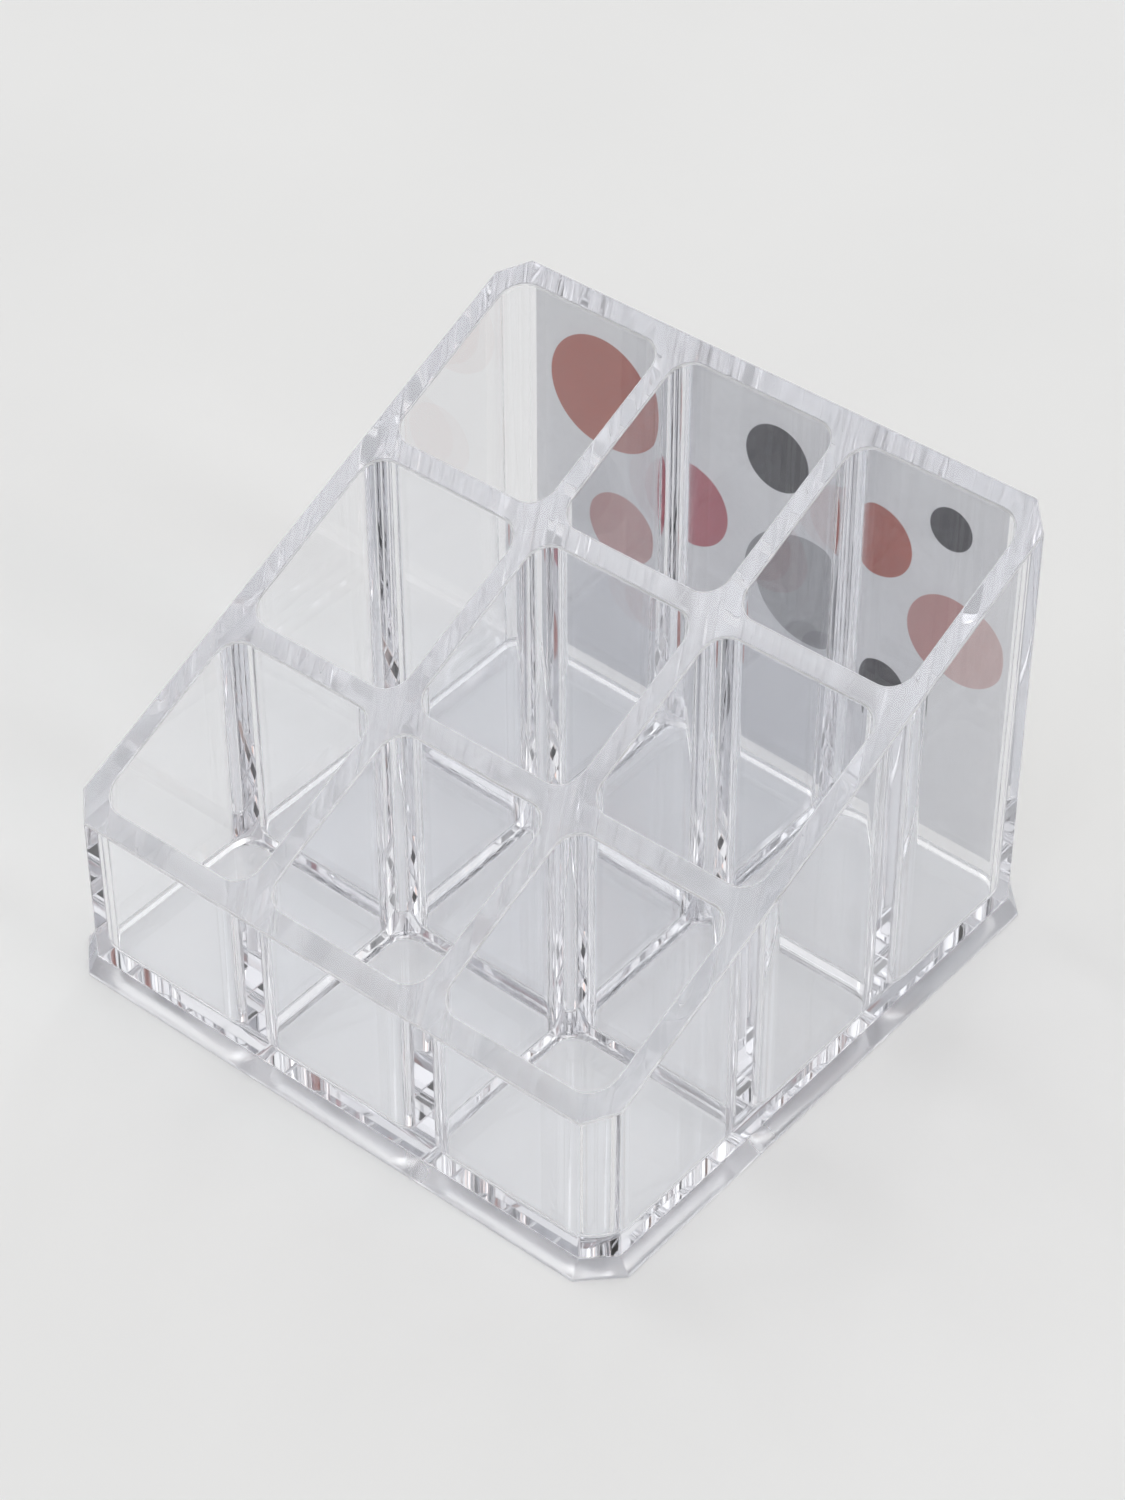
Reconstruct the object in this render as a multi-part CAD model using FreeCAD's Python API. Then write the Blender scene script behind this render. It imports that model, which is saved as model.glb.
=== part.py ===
import FreeCAD, Part
import math
import os

# Clear moulded organizer for lipsticks. Nine square pockets stand on a bevelled foot, behind a rim that rises
# from front to back, and a printed label is stuck to the outside of the back wall.
# Millimetres, +Z up, +X to the right, front towards -Y, origin under the middle of the foot.

# Foot
FOOT_WIDTH = 90.4
FOOT_DEPTH = 90.4
FOOT_CORNER = 4.8         # legs of the foot's cut corners
FOOT_LIP = 0.5            # upright edge under the bevel
BEVEL_HEIGHT = 2.1        # rise of the bevel above the lip
FOOT_LEDGE = 0.15         # flat around the walls on top of the bevel
FOOT_ROUND = 0.2          # softened edge between lip and bevel

# Outer walls
BACK_HEIGHT = 64.5        # table to the outer edge of the back rim
FRONT_HEIGHT = 25.5       # table to the outer edge of the front rim
WALL_SETBACK = 1.55       # edge of the foot to the outside of the walls, at the top of the foot
WALL_CORNER = 3.5         # legs of the walls' cut corners
WALL_ROUND = 0.6          # softened edges of those corners
WALL_DRAFT = 0.15         # degrees that the outside leans in
WALL = 2.95               # outer wall at the height of the back rim

# Pockets
COLUMNS = 3
ROWS = 3
DIVIDER = 2.9             # divider at the height of the back rim
POCKET_DRAFT = 0.2        # degrees that each pocket face leans out
POCKET_CORNER = 3.2       # radius of the upright pocket corners
TRAY_CORNER = 3.6         # radius of the pocket corner that lies in a corner of the tray
FLOOR = 3.6               # table to the pocket floors
FLOOR_FILLET = 1.1        # radius between the floors and the walls

# Label on the back wall
LABEL_THICKNESS = 0.15
LABEL_SIDE_MARGIN = 1.9   # cut corner of the wall to the label's edge, at the back rim
LABEL_TOP_MARGIN = 1.6    # rim to the label's upper edge
LABEL_FOOT_MARGIN = 2.4   # foot to the label's lower edge

# Values that follow from the sizes above
FOOT_TOP = FOOT_LIP + BEVEL_HEIGHT
WALL_LEAN = math.tan(math.radians(WALL_DRAFT))
POCKET_LEAN = math.tan(math.radians(POCKET_DRAFT))
LEG_GROWTH = 2.0 - math.sqrt(2.0)   # growth of a cut corner's legs when its outline moves out by one
CEILING = 2 * BACK_HEIGHT           # well above the rim, where the cutting shapes end
NEAR = 1e-4                         # closer than this is the same place


def wall_half(foot_size, height):
    """Half the width over the outer walls at a height."""
    return foot_size / 2 - WALL_SETBACK - (height - FOOT_TOP) * WALL_LEAN


def inner_half(foot_size, height):
    """Half the width between the insides of two facing outer walls at a height."""
    return wall_half(foot_size, BACK_HEIGHT) - WALL - (BACK_HEIGHT - height) * POCKET_LEAN


def rim_height(y):
    """Height of the sloped rim at a place between front and back."""
    front = -wall_half(FOOT_DEPTH, FRONT_HEIGHT)
    back = wall_half(FOOT_DEPTH, BACK_HEIGHT)
    return FRONT_HEIGHT + (BACK_HEIGHT - FRONT_HEIGHT) * (y - front) / (back - front)


def pocket_span(foot_size, count, index, height):
    """Both ends of one pocket, across or front to back, at a height."""
    mouth = (2 * inner_half(foot_size, BACK_HEIGHT) - (count - 1) * DIVIDER) / count
    middle = (index - (count - 1) / 2) * (mouth + DIVIDER)
    half = mouth / 2 - (BACK_HEIGHT - height) * POCKET_LEAN
    return middle - half, middle + half


def outline(corners, height):
    """Points of an outline, given anticlockwise from above, at a height."""
    return [FreeCAD.Vector(x, y, height) for x, y in corners]


def cut_rectangle(half_x, half_y, leg, height):
    """Outline of a rectangle with cut corners."""
    corners = (
        (half_x - leg, -half_y),
        (half_x, leg - half_y),
        (half_x, half_y - leg),
        (half_x - leg, half_y),
        (leg - half_x, half_y),
        (-half_x, half_y - leg),
        (-half_x, leg - half_y),
        (leg - half_x, -half_y),
    )
    return outline(corners, height)


def pocket_outline(column, row, height):
    """Outline of one pocket before its corners are rounded."""
    left, right = pocket_span(FOOT_WIDTH, COLUMNS, column, height)
    front, back = pocket_span(FOOT_DEPTH, ROWS, row, height)
    return outline(((left, front), (right, front), (right, back), (left, back)), height)


def flat_face(points):
    """Flat face inside a closed outline."""
    return Part.Face(Part.makePolygon(points + points[:1]))


def frustum(low, high):
    """Solid with flat sides between two outlines that have the same number of points."""
    faces = [flat_face(low[::-1]), flat_face(high)]
    for i in range(len(low)):
        j = (i + 1) % len(low)
        faces.append(flat_face([low[i], low[j], high[j], high[i]]))
    return Part.Solid(Part.Shell(faces))


def edges_where(shape, test):
    """Edges of a shape whose ends all pass a test."""
    return [edge for edge in shape.Edges if all(test(vertex.Point) for vertex in edge.Vertexes)]


def upright_edges(shape):
    """Edges that climb from a shape's lower outline to its upper one."""
    return [edge for edge in shape.Edges if edge.BoundBox.ZLength > shape.BoundBox.ZLength / 2]


def in_tray_corner(point):
    """True where two outer walls meet."""
    beside_side_wall = abs(point.x) > inner_half(FOOT_WIDTH, FLOOR) - NEAR
    beside_end_wall = abs(point.y) > inner_half(FOOT_DEPTH, FLOOR) - NEAR
    return beside_side_wall and beside_end_wall


def make_foot():
    """Bevelled plate with cut corners that the walls stand on."""
    half_x = FOOT_WIDTH / 2
    half_y = FOOT_DEPTH / 2
    inset = WALL_SETBACK - FOOT_LEDGE
    top_corner = WALL_CORNER + FOOT_LEDGE * LEG_GROWTH
    ground = cut_rectangle(half_x, half_y, FOOT_CORNER, 0.0)
    lip_top = cut_rectangle(half_x, half_y, FOOT_CORNER, FOOT_LIP)
    bevel_top = cut_rectangle(half_x - inset, half_y - inset, top_corner, FOOT_TOP)
    foot = frustum(ground, lip_top).fuse(frustum(lip_top, bevel_top))
    return foot.makeFillet(FOOT_ROUND, edges_where(foot, lambda p: abs(p.z - FOOT_LIP) < NEAR))


def make_walls():
    """Block with the outside of the walls, before the rim and the pockets are cut."""
    outlines = []
    for height in (FOOT_TOP / 2, CEILING):
        half_x = wall_half(FOOT_WIDTH, height)
        half_y = wall_half(FOOT_DEPTH, height)
        outlines.append(cut_rectangle(half_x, half_y, WALL_CORNER, height))
    block = frustum(*outlines)
    return block.makeFillet(WALL_ROUND, upright_edges(block))


def make_trim():
    """Wedge that holds everything above the sloped rim."""
    half_x = FOOT_WIDTH / 2
    half_y = FOOT_DEPTH / 2
    side = [
        FreeCAD.Vector(-half_x, -half_y, rim_height(-half_y)),
        FreeCAD.Vector(-half_x, half_y, rim_height(half_y)),
        FreeCAD.Vector(-half_x, half_y, CEILING),
        FreeCAD.Vector(-half_x, -half_y, CEILING),
    ]
    return flat_face(side).extrude(FreeCAD.Vector(FOOT_WIDTH, 0, 0))


def make_pocket(column, row):
    """Hollow of one pocket: leaning sides, rounded upright corners and a filleted floor."""
    hollow = frustum(pocket_outline(column, row, FLOOR), pocket_outline(column, row, CEILING))
    uprights = upright_edges(hollow)
    in_corner = edges_where(hollow, in_tray_corner)
    others = [edge for edge in uprights if not any(edge.isSame(corner) for corner in in_corner)]
    hollow = hollow.makeFillet(POCKET_CORNER, others)
    if in_corner:
        hollow = hollow.makeFillet(TRAY_CORNER, edges_where(hollow, in_tray_corner))
    return hollow.makeFillet(FLOOR_FILLET, edges_where(hollow, lambda p: abs(p.z - FLOOR) < NEAR))


def make_tray():
    """Foot, outer walls, dividers and floor, moulded as one."""
    pockets = [make_pocket(column, row) for column in range(COLUMNS) for row in range(ROWS)]
    return make_foot().fuse(make_walls()).cut(make_trim()).cut(pockets).removeSplitter()


def make_label():
    """Printed sheet that lies flat on the leaning back wall."""
    width = 2 * (wall_half(FOOT_WIDTH, BACK_HEIGHT) - WALL_CORNER - LABEL_SIDE_MARGIN)
    wall_length = (BACK_HEIGHT - FOOT_TOP) / math.cos(math.radians(WALL_DRAFT))
    height = wall_length - LABEL_TOP_MARGIN - LABEL_FOOT_MARGIN
    sheet = Part.makeBox(width, LABEL_THICKNESS, height)
    sheet.translate(FreeCAD.Vector(-width / 2, 0, -LABEL_TOP_MARGIN - height))
    sheet.rotate(FreeCAD.Vector(0, 0, 0), FreeCAD.Vector(1, 0, 0), WALL_DRAFT)
    sheet.translate(FreeCAD.Vector(0, wall_half(FOOT_DEPTH, BACK_HEIGHT), BACK_HEIGHT))
    return sheet


os.makedirs("parts", exist_ok=True)
make_tray().exportStep("parts/moulded_tray.step")
make_label().exportStep("parts/back_label.step")
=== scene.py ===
import math

import bmesh
import bpy
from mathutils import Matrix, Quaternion, Vector
from mathutils.geometry import intersect_line_plane


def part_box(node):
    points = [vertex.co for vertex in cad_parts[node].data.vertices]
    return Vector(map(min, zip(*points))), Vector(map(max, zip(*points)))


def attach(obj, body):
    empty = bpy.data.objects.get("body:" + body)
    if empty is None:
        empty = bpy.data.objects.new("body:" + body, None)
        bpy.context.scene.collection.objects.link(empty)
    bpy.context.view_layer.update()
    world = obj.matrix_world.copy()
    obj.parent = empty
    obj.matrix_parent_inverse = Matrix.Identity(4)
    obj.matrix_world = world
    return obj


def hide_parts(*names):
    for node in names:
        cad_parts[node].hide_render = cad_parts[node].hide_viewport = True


# Clear moulded organizer: nine pockets under a sloped rim on a bevelled foot, with a printed label behind.
# Metres, +Z up, front towards -Y, origin under the middle of the foot.

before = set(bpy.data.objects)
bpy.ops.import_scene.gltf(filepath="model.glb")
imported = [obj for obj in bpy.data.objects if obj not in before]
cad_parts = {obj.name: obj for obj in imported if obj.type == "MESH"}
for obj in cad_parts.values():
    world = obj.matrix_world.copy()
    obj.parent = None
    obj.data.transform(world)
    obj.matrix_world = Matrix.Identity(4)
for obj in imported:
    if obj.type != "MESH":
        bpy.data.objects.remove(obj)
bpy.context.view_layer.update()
_, tray_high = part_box("moulded_tray")
label_low, label_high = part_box("back_label")

MM = 0.001

# Foot
FOOT_HALF_X = tray_high.x
FOOT_HALF_Y = tray_high.y
FOOT_CORNER = 4.8 * MM        # legs of the foot's cut corners
FOOT_LIP = 0.5 * MM           # upright edge under the bevel
FOOT_TOP = 2.6 * MM           # top of the bevel, where the walls start
FOOT_BEND = 0.35 * MM         # rounding of the foot's upright corners
FOOT_EDGE = 0.16 * MM         # softening of the foot's long edges

# Outer walls and rim
BACK_HEIGHT = tray_high.z
FRONT_HEIGHT = 25.5 * MM
WALL_SETBACK = 1.55 * MM      # edge of the foot to the outside of the walls
WALL_START = FOOT_TOP + 0.5 * MM
WALL_CORNER = 3.5 * MM        # legs of the walls' cut corners
WALL_BEND = 0.6 * MM          # rounding of those corners
WALL_DRAFT = 0.15             # degrees that the outside leans in
WALL_LEAN = math.tan(math.radians(WALL_DRAFT))
WALL = 2.95 * MM              # wall at the height of the back rim
RIM_EDGE = 0.3 * MM           # softening of the rim's edges

# Pockets
COLUMNS = 3
ROWS = 3
DIVIDER = 2.9 * MM            # divider at the height of the back rim
POCKET_DRAFT = 0.2            # degrees that each pocket face leans out
POCKET_LEAN = math.tan(math.radians(POCKET_DRAFT))
POCKET_CORNER = 3.2 * MM
TRAY_CORNER = 3.6 * MM        # pocket corner that lies in a corner of the tray
FLOOR = 3.6 * MM
FLOOR_FILLET = 1.1 * MM

# Label
LABEL_GAP = 0.04 * MM         # air behind the wall
LABEL_CORNER = 0.4 * MM

# Fineness of round stretches
BEND_STEPS = 6
CORNER_STEPS = 12
FILLET_STEPS = 8
EDGE_STEPS = 4
FLAT_WEIGHT = 100             # how firmly the large faces keep the shading flat

# Clear plastic
CLEAR_TINT = ((0.974, 0.979, 0.992), (0.986, 0.989, 0.997))
THICK_TINT = (0.42, 0.44, 0.66)
THICK_DENSITY = 2.0
STYRENE_IOR = 1.59
WAVE_SCALE = 80.0
WAVE_DETAIL = 1.0
WAVE_DEPTH = 0.008 * MM
HAZE = (-0.03, 0.02)          # least and most roughness, where below zero is a clear polish
SATIN = 0.3                   # roughness added on the foot's bevel
SATIN_REACH = 0.49 * FOOT_TOP  # half the height of that band, just short of the underside and the walls
PAINTED_HIGHLIGHT = "painted_highlight"                 # painted highlight: mark on the rim's soft edges
EDGE_HIGHLIGHT = 0.5               # share of the plastic turned diffuse white along them, as a painted highlight

# Label paper and print
GROUND = ((0.75, 0.75, 0.755), (0.83, 0.83, 0.835))
PAPER = ((0.66, 0.65, 0.625), (0.78, 0.775, 0.755))
CORAL = (0.44, 0.12, 0.085)
ROSE = (0.48, 0.13, 0.16)
BLUSH = (0.56, 0.30, 0.28)
SILVER = (0.32, 0.32, 0.33)
GRAPHITE = (0.05, 0.047, 0.052)
GRAIN_SCALE = 900.0
GRAIN_DETAIL = 1.0
GRAIN_DEPTH = 0.01 * MM
FIBRE_SCALE = 420.0
FIBRE_DETAIL = 5.0
PAPER_FINISH = (0.32, 0.48)   # least and most roughness
PRINT_EDGE = 0.06 * MM        # softness of the printed edges
BACKWARDS = 0.5               # a face whose normal has more than this along +Y is the label's back
LABEL_DISCS = (
    # place across and height of the middle, radius, all in millimetres, and colour
    (-27.0, 50.0, 8.5, CORAL),
    (-12.0, 39.0, 6.5, ROSE),
    (-25.0, 29.0, 5.5, BLUSH),
    (2.0, 53.0, 5.0, GRAPHITE),
    (6.0, 34.0, 8.5, SILVER),
    (18.0, 48.0, 5.5, CORAL),
    (29.0, 55.0, 3.2, GRAPHITE),
    (30.0, 38.0, 6.5, BLUSH),
    (20.0, 25.0, 4.0, GRAPHITE),
    (-8.0, 20.0, 4.5, CORAL),
)

# Studio floor
FLOOR_SIZE = 8.0
FLOOR_GAP = 0.1 * MM          # air under the foot
PALE_FLOOR = ((0.79, 0.795, 0.79), (0.86, 0.865, 0.86))
FLOOR_SCALE = 14.0
FLOOR_DETAIL = 6.0
FLOOR_FINISH = (0.55, 0.7)    # least and most roughness

CLOUD_SPAN = (0.3, 0.7)       # usual reach of the clouds' values

# Room around the organizer: dark at the horizon, pale overhead, with a ring of cards between.
# Turn is the share of a full circle from -X by way of the front, height is 0 at the horizon and 1 overhead.
ROOM_STRENGTH = 1.2
WHITE = (1.0, 1.0, 1.0)
BRIGHT = (2.2, 2.2, 2.2)
PALE = (0.8, 0.8, 0.8)
GREY = (0.2, 0.2, 0.205)
DARK = (0.03, 0.03, 0.035)
PEACH = (1.0, 0.58, 0.44)
CARD_HEIGHTS = (0.16, 0.80)
CARDS = (
    # turn where each card starts, colour
    (0.000, WHITE),
    (0.110, GREY),
    (0.165, WHITE),
    (0.215, DARK),
    (0.245, WHITE),
    (0.300, DARK),
    (0.320, PALE),
    (0.350, GREY),
    (0.380, WHITE),
    (0.455, DARK),
    (0.490, BRIGHT),
    (0.520, WHITE),
    (0.545, PEACH),
    (0.570, PALE),
    (0.665, DARK),
    (0.690, PALE),
    (0.800, BRIGHT),
    (0.815, PALE),
    (0.930, DARK),
    (0.955, WHITE),
)
SOFT_EDGE = 0.01              # of the ring and of the patches
PATCHES = (
    # turn from and to, height from and to, brightness. The first two are one lamp on both sides of -X.
    ((-0.02, 0.030), (0.80, 0.93), 2.4),
    ((0.970, 1.020), (0.80, 0.93), 2.4),
    ((0.500, 0.520), (0.42, 0.50), 10.0),
    ((0.570, 0.680), (0.14, 0.52), 0.03),
)

# Camera
IMAGE_HEIGHT = 1500           # pixels
FOCAL_PIXELS = 3840
SENSOR = 36.0
NEAREST = 10 * MM
VIEW_AZIMUTH = 39.86
VIEW_ELEVATION = 41.295
VIEW_ROLL = -0.066
VIEW_DISTANCE = 486.46 * MM
VIEW_TARGET = Vector((-1.885, 3.824, 27.151)) * MM

# Light paths
MOST_BOUNCES = 32
GLOSSY_BOUNCES = 24


def wall_half(foot_half, height):
    """Half the width over the outer walls at a height."""
    return foot_half - WALL_SETBACK - (height - FOOT_TOP) * WALL_LEAN


# Plane of the sloped rim
RIM_FRONT = Vector((0, -wall_half(FOOT_HALF_Y, FRONT_HEIGHT), FRONT_HEIGHT))
RIM_BACK = Vector((0, wall_half(FOOT_HALF_Y, BACK_HEIGHT), BACK_HEIGHT))
RIM_NORMAL = Vector((1, 0, 0)).cross(RIM_BACK - RIM_FRONT).normalized()


def rounded_outline(corners, radii, steps):
    """Closed anticlockwise outline with each corner rounded: its points, and the way out at each of them."""
    points = []
    ways = []
    for i, corner in enumerate(corners):
        before = (corner - corners[i - 1]).normalized()
        after = (corners[(i + 1) % len(corners)] - corner).normalized()
        out_before = Vector((before.y, -before.x))
        out_after = Vector((after.y, -after.x))
        turn = before.angle(after)
        centre = corner - (out_before + out_after) * radii[i] / (1 + math.cos(turn))
        start = math.atan2(out_before.y, out_before.x)
        for step in range(steps + 1):
            angle = start + turn * step / steps
            way = Vector((math.cos(angle), math.sin(angle)))
            points.append(centre + radii[i] * way)
            ways.append(way)
    return points, ways


def cut_rectangle(half_x, half_y, leg, bend):
    """Outline of a rectangle with cut corners."""
    corners = [
        Vector((half_x - leg, -half_y)),
        Vector((half_x, leg - half_y)),
        Vector((half_x, half_y - leg)),
        Vector((half_x - leg, half_y)),
        Vector((leg - half_x, half_y)),
        Vector((-half_x, half_y - leg)),
        Vector((-half_x, leg - half_y)),
        Vector((leg - half_x, -half_y)),
    ]
    return rounded_outline(corners, [bend] * len(corners), BEND_STEPS)


def raised(points, height):
    """Points of an outline, lifted to a height."""
    return [Vector((point.x, point.y, height)) for point in points]


def softened(start, corner, end):
    """Points of a short curve that rounds off a corner."""
    points = []
    for step in range(EDGE_STEPS + 1):
        share = step / EDGE_STEPS
        points.append(start.lerp(corner, share).lerp(corner.lerp(end, share), share))
    return points


def soft_path(points, edge):
    """Open path with the corners between its ends rounded off."""
    path = [points[0]]
    for before, corner, after in zip(points, points[1:], points[2:]):
        start = corner + edge * (before - corner).normalized()
        end = corner + edge * (after - corner).normalized()
        path += softened(start, corner, end)
    return path + [points[-1]]


def over_the_rim(low, high, ways, side):
    """Rings that lead from a wall over its softened edge onto the sloped rim, outwards or inwards."""
    columns = []
    for foot, top, way in zip(low, high, ways):
        corner = intersect_line_plane(foot, top, RIM_FRONT, RIM_NORMAL)
        across = side * Vector((way.x, way.y, 0))
        across.z = -across.dot(RIM_NORMAL) / RIM_NORMAL.z
        on_wall = corner + RIM_EDGE * (foot - top).normalized()
        on_rim = corner + RIM_EDGE * across.normalized()
        columns.append(softened(on_wall, corner, on_rim))
    return [list(ring) for ring in zip(*columns)]


def outside_rings():
    """Rings from the underside of the foot up the outer walls to the flat of the rim."""
    profile = soft_path(
        [
            Vector((2 * FOOT_EDGE, 0)),
            Vector((0, 0)),
            Vector((0, FOOT_LIP)),
            Vector((WALL_SETBACK, FOOT_TOP)),
            Vector((WALL_SETBACK, WALL_START)),
        ],
        FOOT_EDGE,
    )
    rings = []
    for inset, height in profile:
        share = inset / WALL_SETBACK
        leg = FOOT_CORNER + share * (WALL_CORNER - FOOT_CORNER)
        bend = FOOT_BEND + share * (WALL_BEND - FOOT_BEND)
        points, _ = cut_rectangle(FOOT_HALF_X - inset, FOOT_HALF_Y - inset, leg, bend)
        rings.append(raised(points, height))
    half_x = wall_half(FOOT_HALF_X, BACK_HEIGHT)
    half_y = wall_half(FOOT_HALF_Y, BACK_HEIGHT)
    points, ways = cut_rectangle(half_x, half_y, WALL_CORNER, WALL_BEND)
    return rings + over_the_rim(rings[-1], raised(points, BACK_HEIGHT), ways, -1)


def pocket_span(foot_half, count, index, height):
    """Both ends of one pocket, across or front to back, at a height."""
    room = 2 * (wall_half(foot_half, BACK_HEIGHT) - WALL)
    mouth = (room - (count - 1) * DIVIDER) / count
    middle = (index - (count - 1) / 2) * (mouth + DIVIDER)
    half = mouth / 2 - (BACK_HEIGHT - height) * POCKET_LEAN
    return middle - half, middle + half


def pocket_outline(column, row, height, inset):
    """Outline of one pocket at a height, drawn in by the floor's fillet."""
    left, right = pocket_span(FOOT_HALF_X, COLUMNS, column, height)
    front, back = pocket_span(FOOT_HALF_Y, ROWS, row, height)
    corners = []
    radii = []
    for on_right, on_back in ((0, 0), (1, 0), (1, 1), (0, 1)):
        in_tray_corner = column == on_right * (COLUMNS - 1) and row == on_back * (ROWS - 1)
        x = right - inset if on_right else left + inset
        y = back - inset if on_back else front + inset
        corners.append(Vector((x, y)))
        radii.append((TRAY_CORNER if in_tray_corner else POCKET_CORNER) - inset)
    return rounded_outline(corners, radii, CORNER_STEPS)


def pocket_rings(column, row):
    """Rings from a pocket's floor up its walls to the flat of the rim."""
    rings = []
    for step in range(FILLET_STEPS + 1):
        angle = math.pi / 2 * step / FILLET_STEPS
        height = FLOOR + FLOOR_FILLET * (1 - math.cos(angle))
        inset = FLOOR_FILLET * (1 - math.sin(angle))
        points, _ = pocket_outline(column, row, height, inset)
        rings.append(raised(points, height))
    points, ways = pocket_outline(column, row, BACK_HEIGHT, 0)
    return rings + over_the_rim(rings[-1], raised(points, BACK_HEIGHT), ways, 1)


def add_rings(mesh, rings):
    """Closes the first ring with a flat face, joins each ring to the next and returns their vertices."""
    rows = [[mesh.verts.new(point) for point in ring] for ring in rings]
    mesh.faces.new(rows[0])
    for low, high in zip(rows, rows[1:]):
        for i in range(len(low)):
            mesh.faces.new((low[i - 1], low[i], high[i], high[i - 1]))
    return rows


def ring_edges(mesh, row):
    """Edges of one ring of vertices."""
    return [mesh.edges.get((row[i - 1], row[i])) for i in range(len(row))]


def finished(name, mesh, material):
    """Object made of a mesh, smooth where it bends and flat where it is flat."""
    bmesh.ops.recalc_face_normals(mesh, faces=mesh.faces)
    for face in mesh.faces:
        face.smooth = True
    data = bpy.data.meshes.new(name)
    mesh.to_mesh(data)
    mesh.free()
    piece = bpy.data.objects.new(name, data)
    bpy.context.scene.collection.objects.link(piece)
    data.materials.append(material)
    piece.modifiers.new("flat_faces", "WEIGHTED_NORMAL").weight = FLAT_WEIGHT
    return piece


def make_tray(material):
    """Foot, walls, dividers and pockets as one clear moulding, with the rim's soft edges marked for a painted
    highlight.
    """
    mesh = bmesh.new()
    painted_highlight = mesh.verts.layers.float.new(PAINTED_HIGHLIGHT)
    hollows = [pocket_rings(column, row) for column in range(COLUMNS) for row in range(ROWS)]
    rim_edges = []
    for rings in [outside_rings()] + hollows:
        rows = add_rings(mesh, rings)
        rim_edges += ring_edges(mesh, rows[-1])
        # the rim's soft edges are marked for a painted highlight, strongest in the middle of each round
        for step, row in enumerate(rows[-EDGE_STEPS - 1:]):
            for vertex in row:
                vertex[painted_highlight] = math.sin(math.pi * step / EDGE_STEPS)
    bmesh.ops.triangle_fill(mesh, edges=rim_edges, use_beauty=True, normal=RIM_NORMAL)
    return finished("clear_tray", mesh, material)


def make_label(material):
    """Printed sheet that stands just off the leaning back wall."""
    half = (label_high.x - label_low.x) / 2
    lean = Vector((0, -WALL_LEAN, 1)).normalized()
    length = (label_high.z - label_low.z) / lean.z
    foot = Vector((0, wall_half(FOOT_HALF_Y, label_low.z), label_low.z))
    outward = Vector((1, 0, 0)).cross(-lean)
    thickness = (label_high.y - foot.y) / outward.y
    corners = [Vector((-half, 0)), Vector((half, 0)), Vector((half, length)), Vector((-half, length))]
    points, _ = rounded_outline(corners, [LABEL_CORNER] * len(corners), EDGE_STEPS)
    rings = []
    for depth in (LABEL_GAP, thickness):
        rings.append([foot + Vector((point.x, 0, 0)) + point.y * lean + depth * outward for point in points])
    mesh = bmesh.new()
    rows = add_rings(mesh, rings)
    bmesh.ops.contextual_create(mesh, geom=ring_edges(mesh, rows[-1]))
    return finished("printed_label", mesh, material)


def new_material(name):
    """Material with a plain Principled shader, and that shader."""
    material = bpy.data.materials.new(name)
    material.use_nodes = True
    return material, material.node_tree.nodes["Principled BSDF"]


def add_node(owner, kind, values=None, **settings):
    """Node of a material or world, with its settings and the values on its sockets."""
    node = owner.node_tree.nodes.new("ShaderNode" + kind)
    for setting, value in settings.items():
        setattr(node, setting, value)
    for socket, value in (values or {}).items():
        node.inputs[socket].default_value = value
    return node


def link(output, socket):
    """Joins a node's output to a socket."""
    socket.id_data.links.new(output, socket)


def place_on(material):
    """Place on a piece, in the piece's own coordinates."""
    return add_node(material, "TexCoord").outputs["Object"]


def cloudy(material, place, scale, detail):
    """Value that drifts over a surface in soft clouds."""
    noise = add_node(material, "TexNoise", {"Scale": scale, "Detail": detail})
    link(place, noise.inputs["Vector"])
    return noise.outputs["Fac"]


def between(material, clouds, limits):
    """Value that goes from one limit to the other with the clouds."""
    span = add_node(
        material,
        "MapRange",
        {"From Min": CLOUD_SPAN[0], "From Max": CLOUD_SPAN[1], "To Min": limits[0], "To Max": limits[1]},
    )
    link(clouds, span.inputs["Value"])
    return span.outputs["Result"]


def mixed(material, share, colours):
    """Colour between two others."""
    mix = add_node(material, "MixRGB", {"Color1": (*colours[0], 1), "Color2": (*colours[1], 1)})
    link(share, mix.inputs["Fac"])
    return mix.outputs["Color"]


def add_relief(material, shader, height, depth):
    """Fine relief on a surface, as deep as given where the height goes from 0 to 1."""
    bump = add_node(material, "Bump", {"Distance": depth})
    link(height, bump.inputs["Height"])
    link(bump.outputs["Normal"], shader.inputs["Normal"])


def plastic_finish(material, place, clouds):
    """Roughness of the plastic: satin on the foot's bevel, polished with a faint haze elsewhere."""
    level = add_node(material, "SeparateXYZ")
    on_bevel = add_node(material, "Math", {1: FOOT_TOP / 2, 2: SATIN_REACH}, operation="COMPARE")
    finish = add_node(material, "Math", {1: SATIN}, operation="MULTIPLY_ADD")
    link(place, level.inputs["Vector"])
    link(level.outputs["Z"], on_bevel.inputs[0])
    link(on_bevel.outputs["Value"], finish.inputs[0])
    link(between(material, clouds, HAZE), finish.inputs[2])
    return finish.outputs["Value"]


def plastic_clearness(material):
    """Share of the plastic that is clear: all of it, except along the rim's soft edges, where it turns part
    white as a painted highlight.
    """
    edge = add_node(material, "Attribute", attribute_name=PAINTED_HIGHLIGHT)
    clear = add_node(material, "Math", {1: -EDGE_HIGHLIGHT, 2: 1.0}, operation="MULTIPLY_ADD")
    link(edge.outputs["Fac"], clear.inputs[0])
    return clear.outputs["Value"]


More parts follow.
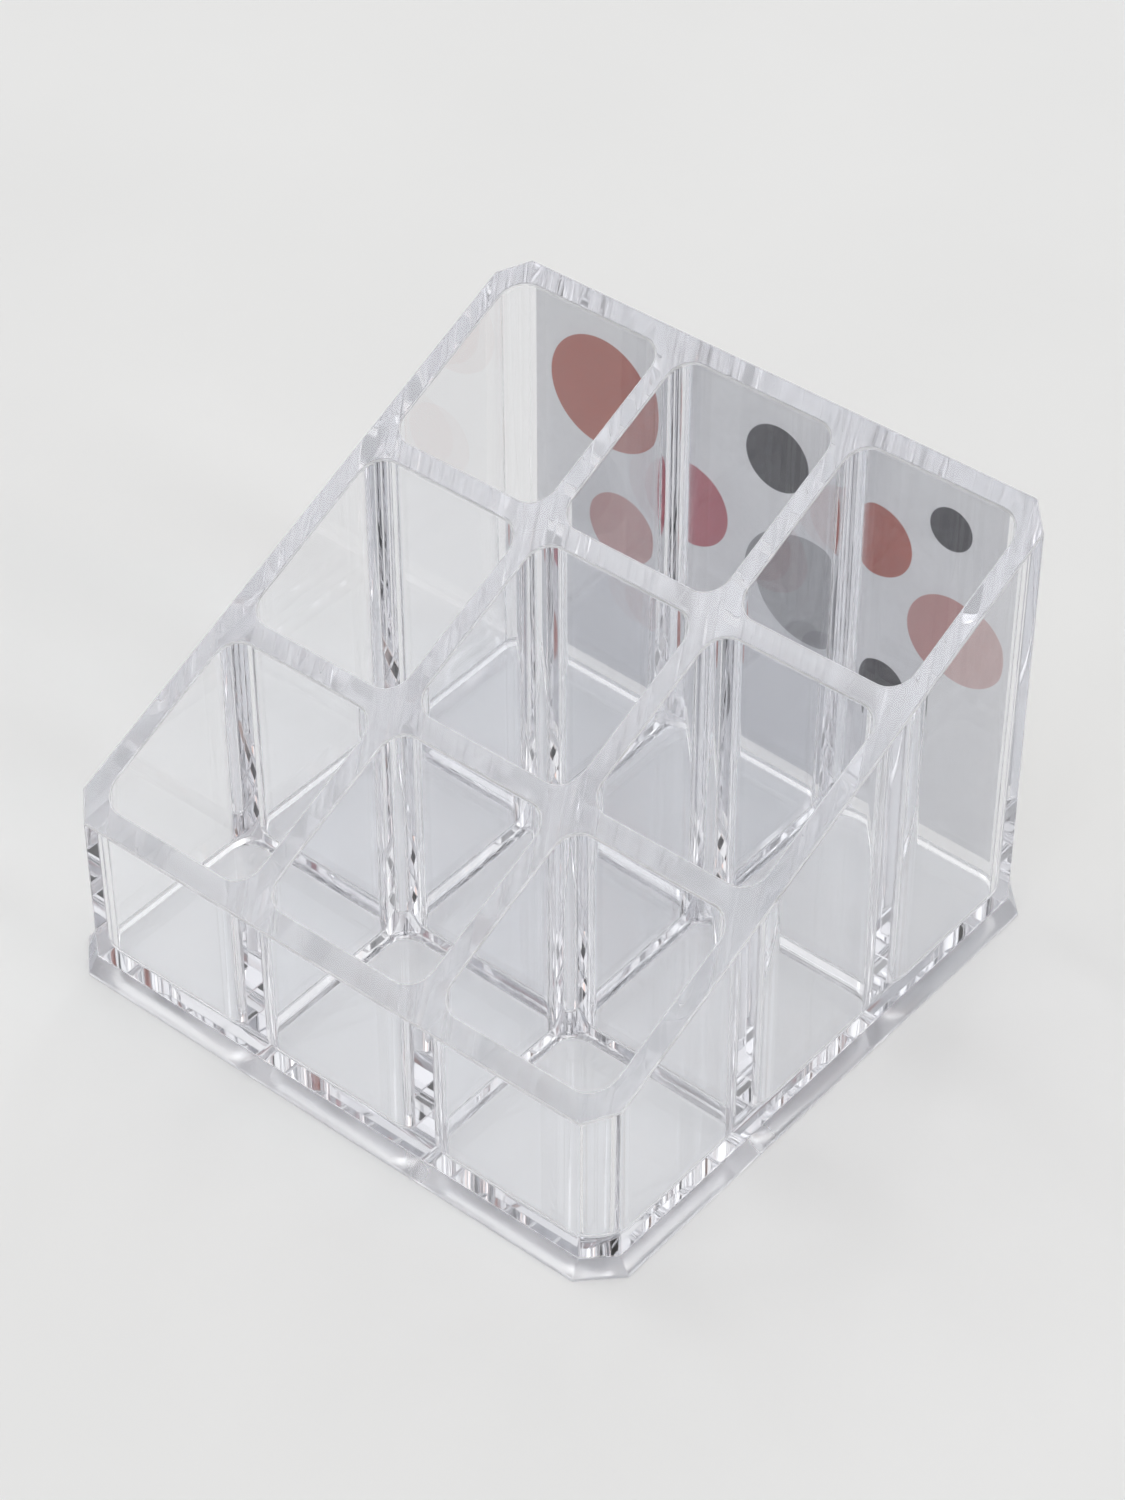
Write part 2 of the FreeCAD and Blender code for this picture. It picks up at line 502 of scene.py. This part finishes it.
def clear_plastic():
    """Polished clear styrene, faintly blue in the thick and a little wavy."""
    material, shader = new_material("clear_plastic")
    place = place_on(material)
    clouds = cloudy(material, place, WAVE_SCALE, WAVE_DETAIL)
    link(mixed(material, clouds, CLEAR_TINT), shader.inputs["Base Color"])
    link(plastic_finish(material, place, clouds), shader.inputs["Roughness"])
    # painted highlight: the plastic turns part white along the rim's soft edges
    link(plastic_clearness(material), shader.inputs["Transmission Weight"])
    shader.inputs["IOR"].default_value = STYRENE_IOR
    add_relief(material, shader, clouds, WAVE_DEPTH)
    absorption = add_node(material, "VolumeAbsorption", {"Color": (*THICK_TINT, 1), "Density": THICK_DENSITY})
    link(absorption.outputs["Volume"], material.node_tree.nodes["Material Output"].inputs["Volume"])
    return material


def with_disc(material, on_sheet, colour, disc):
    """Colour of the sheet with one more disc printed on it."""
    across, height, radius, ink = disc
    reach = add_node(material, "VectorMath", {1: (across * MM, 0, height * MM)}, operation="DISTANCE")
    inside = add_node(
        material,
        "MapRange",
        {"From Min": radius * MM + PRINT_EDGE, "From Max": radius * MM - PRINT_EDGE},
    )
    printed = add_node(material, "MixRGB", {"Color2": (*ink, 1)})
    link(on_sheet, reach.inputs[0])
    link(reach.outputs["Value"], inside.inputs["Value"])
    link(inside.outputs["Result"], printed.inputs["Fac"])
    link(colour, printed.inputs["Color1"])
    return printed.outputs["Color"]


def on_the_back(material):
    """1 on the side of the label that faces away from the tray, and 0 elsewhere."""
    facing = add_node(material, "NewGeometry")
    side = add_node(material, "SeparateXYZ")
    backwards = add_node(material, "Math", {1: BACKWARDS}, operation="GREATER_THAN")
    link(facing.outputs["Normal"], side.inputs["Vector"])
    link(side.outputs["Y"], backwards.inputs[0])
    return backwards.outputs["Value"]


def label_print():
    """Satin paper printed with discs on a grey ground, and bare on its back."""
    material, shader = new_material("label_print")
    place = place_on(material)
    grain = cloudy(material, place, GRAIN_SCALE, GRAIN_DETAIL)
    fibres = cloudy(material, place, FIBRE_SCALE, FIBRE_DETAIL)
    on_sheet = add_node(material, "VectorMath", {1: (1, 0, 1)}, operation="MULTIPLY")
    link(place, on_sheet.inputs[0])
    colour = mixed(material, grain, GROUND)
    for disc in LABEL_DISCS:
        colour = with_disc(material, on_sheet.outputs["Vector"], colour, disc)
    sides = add_node(material, "MixRGB")
    link(on_the_back(material), sides.inputs["Fac"])
    link(colour, sides.inputs["Color1"])
    link(mixed(material, fibres, PAPER), sides.inputs["Color2"])
    link(sides.outputs["Color"], shader.inputs["Base Color"])
    link(between(material, grain, PAPER_FINISH), shader.inputs["Roughness"])
    add_relief(material, shader, grain, GRAIN_DEPTH)
    return material


def floor_paint():
    """Pale, slightly uneven studio floor."""
    material, shader = new_material("floor_paint")
    clouds = cloudy(material, place_on(material), FLOOR_SCALE, FLOOR_DETAIL)
    link(mixed(material, clouds, PALE_FLOOR), shader.inputs["Base Color"])
    link(between(material, clouds, FLOOR_FINISH), shader.inputs["Roughness"])
    return material


def make_floor():
    """Wide floor under the organizer."""
    bpy.ops.mesh.primitive_plane_add(size=FLOOR_SIZE, location=(0, 0, -FLOOR_GAP))
    floor = bpy.context.object
    floor.name = "floor"
    floor.data.materials.append(floor_paint())


def make_camera():
    """Camera at the photograph's view."""
    data = bpy.data.cameras.new("camera")
    data.sensor_width = SENSOR
    data.lens = FOCAL_PIXELS / IMAGE_HEIGHT * SENSOR
    data.clip_start = NEAREST
    azimuth = math.radians(VIEW_AZIMUTH)
    elevation = math.radians(VIEW_ELEVATION)
    back = Vector((
        math.sin(azimuth) * math.cos(elevation),
        -math.cos(azimuth) * math.cos(elevation),
        math.sin(elevation),
    ))
    camera = bpy.data.objects.new("camera", data)
    bpy.context.scene.collection.objects.link(camera)
    camera.location = VIEW_TARGET + VIEW_DISTANCE * back
    camera.rotation_mode = "QUATERNION"
    camera.rotation_quaternion = back.to_track_quat("Z", "Y") @ Quaternion((0, 0, 1), math.radians(VIEW_ROLL))
    bpy.context.scene.camera = camera


def stepped(world, coordinate, stops):
    """Colour that changes in steps along a coordinate, each step a start from 0 to 1 and a colour."""
    ramp = add_node(world, "ValToRGB")
    ramp.color_ramp.interpolation = "CONSTANT"
    elements = ramp.color_ramp.elements
    while len(elements) < len(stops):
        elements.new(1.0)
    for element, (start, colour) in zip(elements, stops):
        element.position = start
        element.color = (*colour, 1)
    link(coordinate, ramp.inputs["Fac"])
    return ramp.outputs["Color"]


def soft_band(world, coordinate, ends):
    """1 between two ends of a coordinate and 0 away from them."""
    middle = sum(ends) / 2
    half = (ends[1] - ends[0]) / 2
    offset = add_node(world, "Math", {1: middle}, operation="SUBTRACT")
    reach = add_node(world, "Math", operation="ABSOLUTE")
    inside = add_node(world, "MapRange", {"From Min": half + SOFT_EDGE, "From Max": half - SOFT_EDGE})
    link(coordinate, offset.inputs[0])
    link(offset.outputs["Value"], reach.inputs[0])
    link(reach.outputs["Value"], inside.inputs["Value"])
    return inside.outputs["Result"]


def with_patch(world, turn, height, colour, patch):
    """Colour of the room with one more bright or dark patch in it."""
    turns, heights, brightness = patch
    inside = add_node(world, "Math", operation="MULTIPLY")
    patched = add_node(world, "MixRGB", {"Color2": (brightness, brightness, brightness, 1)})
    link(soft_band(world, turn, turns), inside.inputs[0])
    link(soft_band(world, height, heights), inside.inputs[1])
    link(inside.outputs["Value"], patched.inputs["Fac"])
    link(colour, patched.inputs["Color1"])
    return patched.outputs["Color"]


def make_light():
    """Soft light from a pale room with a dark horizon, a ring of cards and a few soft patches."""
    world = bpy.data.worlds.new("room")
    world.use_nodes = True
    direction = add_node(world, "TexCoord").outputs["Generated"]
    around = add_node(world, "TexGradient", gradient_type="RADIAL")
    upwards = add_node(world, "SeparateXYZ")
    link(direction, around.inputs["Vector"])
    link(direction, upwards.inputs["Vector"])
    turn = around.outputs["Fac"]
    height = upwards.outputs["Z"]
    ring = add_node(world, "MixRGB")
    link(soft_band(world, height, CARD_HEIGHTS), ring.inputs["Fac"])
    link(stepped(world, height, ((0.0, DARK), (CARD_HEIGHTS[0], PALE))), ring.inputs["Color1"])
    link(stepped(world, turn, CARDS), ring.inputs["Color2"])
    colour = ring.outputs["Color"]
    for patch in PATCHES:
        colour = with_patch(world, turn, height, colour, patch)
    background = world.node_tree.nodes["Background"]
    background.inputs["Strength"].default_value = ROOM_STRENGTH
    link(colour, background.inputs["Color"])
    bpy.context.scene.world = world


def set_tracing():
    """Enough bounces for light to cross all the walls, in plain colours."""
    scene = bpy.context.scene
    scene.view_settings.view_transform = "Standard"
    scene.cycles.max_bounces = MOST_BOUNCES
    scene.cycles.transmission_bounces = MOST_BOUNCES
    scene.cycles.glossy_bounces = GLOSSY_BOUNCES
    scene.cycles.blur_glossy = 0.0
    scene.cycles.use_denoising = True


tray = make_tray(clear_plastic())
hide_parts("moulded_tray")
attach(tray, "root")

label = make_label(label_print())
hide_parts("back_label")
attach(label, "root")

make_floor()
make_camera()
make_light()
set_tracing()
